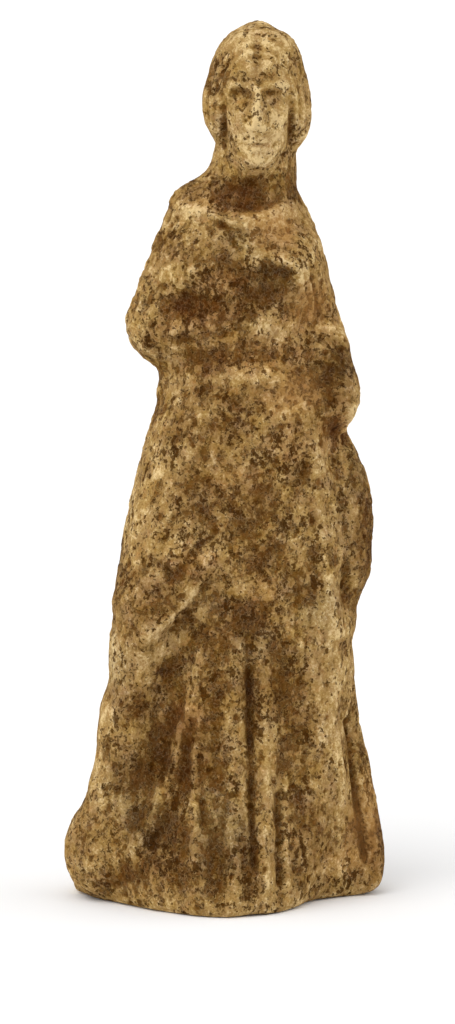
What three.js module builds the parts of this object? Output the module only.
// A worn terracotta figurine of a standing woman wrapped in a mantle, pressed in one piece.
// Millimetres, +Z up. The figure faces -Y, and +X is on the viewer's right.
import * as THREE from "three";

// Driving dimensions.
const HEIGHT = 180; // underside to crown
const HEAD = HEIGHT / 6; // chin to crown
const SEAM_SHIFT = 6; // the side seams stand this far behind the middle of the foot
const WORN_EDGE = { rise: 1.6, inset: 1 }; // rounding of the worn lower edge
const BLEND = 3.2; // softness where a limb runs into the body

// Levels up the figure.
const FOOT = 8;
const CALF = 24;
const KNEE = 58;
const HIP = 86;
const WAIST = 104;
const ELBOW = 117.5;
const BREAST = 129;
const SHOULDER = 138.5;
const NECK = 147;
const CHIN = HEIGHT - HEAD;
const EYES = CHIN + HEAD / 2;
const HEAD_X = 6; // the head stands towards the straight leg, on the viewer's right

// The wrapped body, from the hem up: both side outlines, how far the front and the back stand
// from the seam, and the front's plan, which runs from 1 for a wedge to 2 for an oval.
const BODY = [
  { z: 0, left: -32.4, right: 31.6, front: 28.2, back: 15.2, power: 1.1 },
  { z: FOOT, left: -32.6, right: 32.6, front: 27, back: 15, power: 1.2 },
  { z: CALF, left: -28.2, right: 29.2, front: 22.6, back: 13.6, power: 1.4 },
  { z: 42, left: -25, right: 26.6, front: 19, back: 12.6, power: 1.7 },
  { z: KNEE, left: -23.4, right: 25.4, front: 17.2, back: 12.4, power: 2 },
  { z: 72, left: -22.2, right: 24.6, front: 16.2, back: 13, power: 2 },
  { z: HIP, left: -19, right: 25, front: 15, back: 12.8, power: 2 },
  { z: WAIST, left: -14, right: 22.4, front: 12.8, back: 10.6, power: 2 },
  { z: ELBOW, left: -12.6, right: 18.4, front: 11.6, back: 10.4, power: 2 },
  { z: BREAST, left: -13, right: 18, front: 11, back: 10.4, power: 2 },
  { z: SHOULDER, left: -10, right: 14.4, front: 9.2, back: 9.6, power: 2 },
  { z: NECK, left: -4.4, right: 12.4, front: 6.2, back: 8, power: 2 },
  { z: 155, left: -1.4, right: 12.8, front: 4.2, back: 7.4, power: 2 },
];

// Limbs under the cloth: two ends as [x, y, z], and the radius at each.
const LIMBS = {
  thighOfFreeLeg: { from: [-6.4, -5, 94], to: [-15, -9.5, 60], radii: [9, 8.2] },
  shinOfFreeLeg: { from: [-15, -9.5, 60], to: [-22, -8, 16], radii: [8.2, 7.6] },
  straightLeg: { from: [13, -4.5, 92], to: [16.4, -5.4, 10], radii: [9, 8.8] },
  rightUpperArm: { from: [-6, 1, 141], to: [-14.2, -1.2, 117.4], radii: [6.4, 7.1] },
  rightForearm: { from: [-13, -3.8, 117], to: [7, -8.9, 119.4], radii: [5.4, 3.6] },
  leftUpperArm: { from: [11.4, 1, 138], to: [17.8, 0, 114], radii: [6.2, 6.6] },
  leftForearm: { from: [18.8, -1.6, 112], to: [21.2, -5.2, 103.4], radii: [5.8, 5.8] },
  slopeToRightShoulder: { from: [2.8, 1.6, 149.4], to: [-4.8, 1, 141.4], radii: [4.2, 4.8] },
  foldAtRightEdge: { from: [25.4, -1.5, 34], to: [28.8, -4, 4.6], radii: [2, 3.9] },
  neck: { from: [HEAD_X - 0.6, -1.2, 138], to: [HEAD_X - 0.4, -1.6, 158], radii: [7, 6] },
};

// Rounded masses: centre, half-size, and how softly each runs into the rest.
const MASSES = {
  trailingHem: { at: [-25.2, -6, 10], half: [8.4, 9.4, 10.4], softness: 2 },
  hangingMantle: { at: [22.6, 0, 76.5], half: [7.3, 8.6, 17.6], softness: 4 },
  rightBreast: { at: [-3.6, -5.8, 130.4], half: [7, 5.6, 6.6], softness: 6 },
  leftBreast: { at: [11.4, -5.8, 129.6], half: [7, 5.6, 6.6], softness: 6 },
  belly: { at: [3.6, -7, 97], half: [13, 7.4, 11], softness: 6 },
  veilBehindNeck: { at: [5.8, 2.6, 150], half: [8.1, 5.4, 14], softness: 3 },
  hair: { at: [HEAD_X, 0.2, HEIGHT - 14.4], half: [10.3, 10.8, 12.8], softness: 1.2 },
  topOfHair: { at: [HEAD_X, 0, HEIGHT - 8.8], half: [9.8, 10.2, 7.8], softness: 1.2 },
  crownKnot: { at: [HEAD_X + 0.3, 0, HEIGHT - 2.4], half: [3.2, 3.4, 2.4], softness: 1.2 },
  backKnot: { at: [HEAD_X, 7.6, EYES + 0.5], half: [6.4, 4.6, 6], softness: 2.4 },
  hairOverRightEar: { at: [-2.2, -2, EYES - 2.4], half: [2.9, 4.6, 6.8], softness: 1.8 },
  hairOverLeftEar: { at: [14, -2, EYES - 3.4], half: [3, 4.6, 7.6], softness: 1.8 },
  face: { at: [HEAD_X, -4, EYES - 3], half: [7, 8.4, 11.6], softness: 1 },
  jaw: { at: [HEAD_X, -5.2, CHIN + 4.2], half: [4.4, 5.4, 4], softness: 3 },
};

// Carving on the front, as lines of [x, z] seen from in front. A positive height is a ridge and a
// negative one a furrow, and width is half its breadth at mid height.
const FOLDS = {
  mantleEdgeAtNeck: {
    line: [[-9.6, 143.4], [-2.5, 141.2], [5, 141], [13.4, 143]],
    width: 1.6,
    height: 0.8,
  },
  foldOverBreast: {
    line: [[5.4, 130.8], [10.4, 131.8], [14.4, 129.4], [15.4, 123]],
    width: 1.3,
    height: 0.9,
  },
  mantleEdgeOnForearm: {
    line: [[-15, 114.4], [-8, 118.4], [0, 121.4], [8, 121.8], [15.6, 119.6]],
    width: 1.9,
    height: 0.7,
  },
  furrowUnderForearm: {
    line: [[-10, 112.4], [-2, 112.8], [8, 112.8], [14, 112.2]],
    width: 1.5,
    height: -1.3,
  },
  rollAtWaist: { line: [[-14, 109.2], [-5.6, 110], [4.5, 109.8], [13.4, 108.4]], width: 1.7, height: 1 },
  mantleEdgeOnHip: {
    line: [[13.4, 108.4], [16, 102.6], [18.2, 93], [19.8, 82], [20.8, 69], [21.6, 50]],
    width: 1.6,
    height: 1.2,
  },
  furrowBesideMantleEdge: {
    line: [[20.6, 102], [22.4, 95], [23.2, 80], [24, 64]],
    width: 1.4,
    height: -1.7,
  },
  thighPull: { line: [[-2.2, 74.6], [-7.6, 66], [-14.3, 57.2], [-19.5, 52]], width: 1.7, height: 1.7 },
  thighPullAbove: { line: [[-1.6, 80.4], [-7, 77], [-14, 71.5]], width: 1.8, height: 0.7 },
  hollowBesideShin: {
    line: [[-1.4, 69], [-6.4, 59], [-11, 50], [-12.6, 38], [-14, 24]],
    width: 3.2,
    height: -2.4,
  },
  trailingFold: { line: [[-4.6, 56], [-8, 42], [-13.6, 23.6], [-20.4, 8]], width: 1.4, height: 1.5 },
  shortTrailingFold: { line: [[-8.6, 33], [-11, 22], [-12.6, 8]], width: 1.2, height: 0.9 },
  pleatLeft: { line: [[-5.6, 44], [-6.2, 30], [-6.6, 2]], width: 1.3, height: 1.3 },
  furrowLeft: { line: [[-2.2, 46], [-2, 28], [-2, 4]], width: 1.6, height: -1.1 },
  pleatMiddle: { line: [[1.5, 58], [2, 40], [2.3, 23], [2.7, 4]], width: 1.3, height: 1.4 },
  deepFurrow: { line: [[4.4, 58], [4.6, 40], [4.7, 24], [5, 6]], width: 1.2, height: -2.3 },
  pleatRight: { line: [[7.2, 54], [7.4, 36], [7.6, 18], [7.8, 3]], width: 1.4, height: 1.2 },
  furrowRight: { line: [[10.4, 29], [10.6, 17], [10.8, 3]], width: 1.1, height: -1.4 },
  hollowBesideStraightLeg: { line: [[12.4, 46], [13.4, 26], [14.4, 2]], width: 2.6, height: -1 },
  furrowAtEdge: { line: [[24.2, 42], [25.6, 30], [27.2, 18], [28.8, 1]], width: 1.2, height: -1.9 },
  hairline: {
    line: [[-0.8, 160], [-0.4, 165], [2, 169.4], [HEAD_X, 171.4], [10, 169.4], [12.4, 165], [12.8, 160]],
    width: 1.3,
    height: 0.9,
  },
  furrowInsideHairline: {
    line: [[0, 160], [0.8, 164.4], [3, 167.4], [HEAD_X, 168.8], [9, 167.4], [11.2, 164.4], [12, 160]],
    width: 1,
    height: -0.5,
  },
  parting: { line: [[HEAD_X, 170], [HEAD_X, 177]], width: 0.8, height: -0.7 },
  brow: {
    line: [[1, EYES + 1], [3.4, EYES + 2.4], [8.6, EYES + 2.4], [11, EYES + 1]],
    width: 1,
    height: 0.5,
  },
  nose: { line: [[HEAD_X, EYES + 1.6], [HEAD_X, EYES - 2], [HEAD_X, EYES - 6]], width: 0.9, height: 1.5 },
  mouth: { line: [[HEAD_X - 2, EYES - 9.4], [HEAD_X + 2, EYES - 9.4]], width: 0.8, height: -0.6 },
};

// The back is plainer: the mantle pulls up from the left hip to the right shoulder.
const BACK_FOLDS = {
  upperPull: { line: [[20, 96], [9, 106], [-3, 121], [-9, 138]], width: 2.2, height: 0.8 },
  middlePull: { line: [[23, 78], [10, 88], [-4, 106], [-13, 122]], width: 2.4, height: 0.9 },
  lowerPull: { line: [[22, 60], [8, 68], [-6, 82], [-15, 98]], width: 2.6, height: 0.7 },
  leftPleat: { line: [[-13, 46], [-15, 24], [-17, 2]], width: 2.2, height: 0.8 },
  middlePleat: { line: [[-1, 44], [-2, 24], [-3, 2]], width: 2.2, height: 0.8 },
  rightPleat: { line: [[11, 46], [12, 24], [14, 2]], width: 2.2, height: 0.8 },
};

// Hollows and swellings on the front: centre [x, z], half-size, and height.
const SPOTS = {
  throat: { at: [5, 146], half: [5, 2.6], height: -1.5 },
  besideElbow: { at: [-6.4, 124.4], half: [4.2, 3.4], height: -1.5 },
  underLeftHand: { at: [22.8, 98], half: [2, 2.4], height: -1.8 },
  hemBesideStraightLeg: { at: [22, 0], half: [6, 16], height: -4.6 },
  rightEye: { at: [HEAD_X - 2.9, EYES], half: [1.6, 1.5], height: -0.8 },
  leftEye: { at: [HEAD_X + 2.9, EYES], half: [1.6, 1.5], height: -0.8 },
  chin: { at: [HEAD_X, CHIN + 2.2], half: [2.4, 1.8], height: 0.4 },
};

// The grid that covers the figure.
const COLUMNS = 58;
const FRONT_CROWDING = 0.36; // columns stand closer in front, where the carving is
const CAP_ROWS = 9; // rows over the crown
const ROW_ZONES = [
  { top: 3, rows: 3 },
  { top: 100, rows: 34 },
  { top: 142, rows: 19 },
  { top: EYES + 2, rows: 18 },
];

const { lerp: mix, clamp, smoothstep } = THREE.MathUtils;
const vector = (values) => new THREE.Vector3(...values);

// A value of the body's table at any height, on a smooth curve through the levels.
function bodyAt(key, z) {
  const last = BODY.length - 1;
  let i = 0;
  while (i < last - 1 && z > BODY[i + 1].z) i += 1;
  const [a, b] = [BODY[i], BODY[i + 1]];
  const before = BODY[Math.max(i - 1, 0)];
  const after = BODY[Math.min(i + 2, last)];
  const slopeA = (b[key] - before[key]) / (b.z - before.z || 1);
  const slopeB = (after[key] - a[key]) / (after.z - a.z || 1);
  const span = b.z - a.z;
  const t = clamp((z - a.z) / span, 0, 1);
  const [t2, t3] = [t * t, t * t * t];
  return (
    (2 * t3 - 3 * t2 + 1) * a[key] +
    (t3 - 2 * t2 + t) * span * slopeA +
    (3 * t2 - 2 * t3) * b[key] +
    (t3 - t2) * span * slopeB
  );
}

// Distances are negative inside a form. Two forms run softly into each other.
function softUnion(a, b, softness) {
  const h = clamp(0.5 + (0.5 * (b - a)) / softness, 0, 1);
  return mix(b, a, h) - softness * h * (1 - h);
}

const WEDGE_SIDES = 1.6; // how full the side corners stay where the front is a wedge

function bodyDistance(p) {
  const top = BODY[BODY.length - 1].z;
  const z = clamp(p.z, 0, top);
  const [left, right] = [bodyAt("left", z), bodyAt("right", z)];
  const halfWidth = (right - left) / 2;
  const depth = p.y < 0 ? bodyAt("front", z) : bodyAt("back", z);
  const power = p.y < 0 ? bodyAt("power", z) : 2;
  const sidePower = mix(WEDGE_SIDES, 2, clamp(power - 1, 0, 1));
  const across = Math.abs(p.x - (left + right) / 2) / halfWidth;
  const level = across ** sidePower + (Math.abs(p.y) / depth) ** power;
  const share = level ** (2 / (sidePower + power));
  return Math.max((share - 1) * Math.min(halfWidth, depth), p.z - top);
}

function massDistance(p, { at, half }) {
  const q = p.clone().sub(vector(at));
  const scaled = q.clone().divide(vector(half));
  const steep = scaled.clone().divide(vector(half)).length();
  const length = scaled.length();
  return steep > 0 ? (length * (length - 1)) / steep : -Math.min(...half);
}

function limbDistance(p, { from, to, radii }) {
  const [a, b] = [vector(from), vector(to)];
  const along = b.clone().sub(a);
  const t = clamp(p.clone().sub(a).dot(along) / along.lengthSq(), 0, 1);
  return p.distanceTo(a.addScaledVector(along, t)) - mix(radii[0], radii[1], t);
}

function figureDistance(p) {
  let d = bodyDistance(p);
  for (const limb of Object.values(LIMBS)) d = softUnion(d, limbDistance(p, limb), BLEND);
  for (const mass of Object.values(MASSES)) d = softUnion(d, massDistance(p, mass), mass.softness);
  return d;
}

const NUDGE = 0.05;

function outward(p) {
  const slope = (axis) => {
    const [ahead, behind] = [p.clone(), p.clone()];
    ahead[axis] += NUDGE;
    behind[axis] -= NUDGE;
    return figureDistance(ahead) - figureDistance(behind);
  };
  return new THREE.Vector3(slope("x"), slope("y"), slope("z")).normalize();
}

// Carving lines as short straight runs, for a point seen square from in front or behind.
const RUNS = 24;
const curved = (folds) =>
  Object.values(folds).map(({ line, width, height }) => {
    const curve = new THREE.SplineCurve(line.map((xz) => new THREE.Vector2(...xz)));
    return { points: curve.getPoints(RUNS), width, height };
  });
const frontCurves = curved(FOLDS);
const backCurves = curved(BACK_FOLDS);

// A fold starts and ends at part of its height, and reaches all of it a fifth of the way along.
const FADE = { share: 0.2, atStart: 0.25, atEnd: 0.45 };

function foldHeight(x, z, { points, width, height }) {
  const here = new THREE.Vector2(x, z);
  let [nearest, along] = [Infinity, 0];
  for (let i = 0; i < RUNS; i += 1) {
    const run = points[i + 1].clone().sub(points[i]);
    const t = clamp(here.clone().sub(points[i]).dot(run) / run.lengthSq(), 0, 1);
    const distance = here.distanceTo(points[i].clone().addScaledVector(run, t));
    if (distance < nearest) [nearest, along] = [distance, (i + t) / RUNS];
  }
  const fade = Math.min(1, along / FADE.share + FADE.atStart, (1 - along) / FADE.share + FADE.atEnd);
  return height * fade * Math.exp(-Math.LN2 * (nearest / width) ** 2);
}

function spotHeight(x, z, { at, half, height }) {
  const spread = ((x - at[0]) / half[0]) ** 2 + ((z - at[1]) / half[1]) ** 2;
  return height * Math.exp(-spread);
}

const SIDEWAYS = 0.05; // a surface turned this far from the viewer takes no carving
const FACING = 0.5; // and one turned this far towards the viewer takes all of it

function carving({ x, z }, normal) {
  const curves = normal.y < 0 ? frontCurves : backCurves;
  const spots = normal.y < 0 ? Object.values(SPOTS) : [];
  const heights = [
    ...curves.map((curve) => foldHeight(x, z, curve)),
    ...spots.map((spot) => spotHeight(x, z, spot)),
  ];
  const sum = heights.reduce((total, height) => total + height, 0);
  return sum * smoothstep(Math.abs(normal.y), SIDEWAYS, FACING);
}

// The point where a ray from inside the figure leaves it for the last time.
const REACH = 60;
const STRIDE = 0.75;
const HALVINGS = 18;

function surfaceAlong(origin, direction) {
  const isInside = (r) => figureDistance(origin.clone().addScaledVector(direction, r)) < 0;
  let inside = REACH;
  while (inside > 0 && !isInside(inside)) inside -= STRIDE;
  let outside = inside + STRIDE;
  for (let i = 0; i < HALVINGS; i += 1) {
    const middle = (inside + outside) / 2;
    if (isInside(middle)) inside = middle;
    else outside = middle;
  }
  return origin.clone().addScaledVector(direction, inside);
}

// Each row's rays start on the figure's axis, which leans from the middle of the skirt to the head.
function axisAt(z) {
  const rise = smoothstep(z, HIP, EYES);
  return new THREE.Vector3(HEAD_X * rise, mix(-3, 0, rise), z);
}

// Rows lie level up to the eyes and fan out over the crown.
function rowRays() {
  const rays = [];
  let bottom = 0;
  for (const { top, rows } of ROW_ZONES) {
    for (let i = 0; i < rows; i += 1) rays.push({ z: mix(bottom, top, i / rows), tilt: 0 });
    bottom = top;
  }
  for (let i = 0; i < CAP_ROWS; i += 1) rays.push({ z: bottom, tilt: (i / CAP_ROWS) * (Math.PI / 2) });
  return rays;
}

function columnAngle(column) {
  const turn = (2 * Math.PI * column) / COLUMNS;
  return Math.PI / 2 + turn + FRONT_CROWDING * Math.sin(turn);
}

function surfacePoint({ z, tilt }, angle) {
  const level = Math.cos(tilt);
  const direction = new THREE.Vector3(level * Math.cos(angle), level * Math.sin(angle), Math.sin(tilt));
  const p = surfaceAlong(axisAt(z), direction);
  const normal = outward(p);
  p.addScaledVector(normal, carving(p, normal));
  if (tilt > 0) return p;
  p.z = z;
  const worn = Math.max(0, 1 - z / WORN_EDGE.rise);
  return p.addScaledVector(direction, -WORN_EDGE.inset * worn * worn);
}

// Rings of points from the underside to the crown, closed below by a flat fan and above by a cap.
function figureGeometry() {
  const rays = rowRays();
  const points = [];
  for (const ray of rays) {
    for (let column = 0; column < COLUMNS; column += 1) points.push(surfacePoint(ray, columnAngle(column)));
  }
  const under = points.push(new THREE.Vector3(0, -SEAM_SHIFT, 0)) - 1;
  const lastRow = rays.length - 1;
  const crown = points.push(surfaceAlong(axisAt(rays[lastRow].z), new THREE.Vector3(0, 0, 1))) - 1;
  const faces = [];
  const at = (row, column) => row * COLUMNS + (column % COLUMNS);
  for (let column = 0; column < COLUMNS; column += 1) {
    faces.push(under, at(0, column + 1), at(0, column));
    for (let row = 0; row < lastRow; row += 1) {
      const [a, b] = [at(row, column), at(row, column + 1)];
      const [c, d] = [at(row + 1, column + 1), at(row + 1, column)];
      faces.push(a, b, c, a, c, d);
    }
    faces.push(at(lastRow, column), at(lastRow, column + 1), crown);
  }
  const geometry = new THREE.BufferGeometry().setFromPoints(points);
  geometry.setIndex(faces);
  geometry.computeVertexNormals();
  return geometry;
}

const terracotta = new THREE.MeshStandardMaterial({ color: 0x94734a, roughness: 0.9, metalness: 0 });
const figurine = new THREE.Mesh(figureGeometry(), terracotta);
figurine.name = "figurine";
figurine.position.y = SEAM_SHIFT;

const group = new THREE.Group();
group.add(figurine);
export default group;
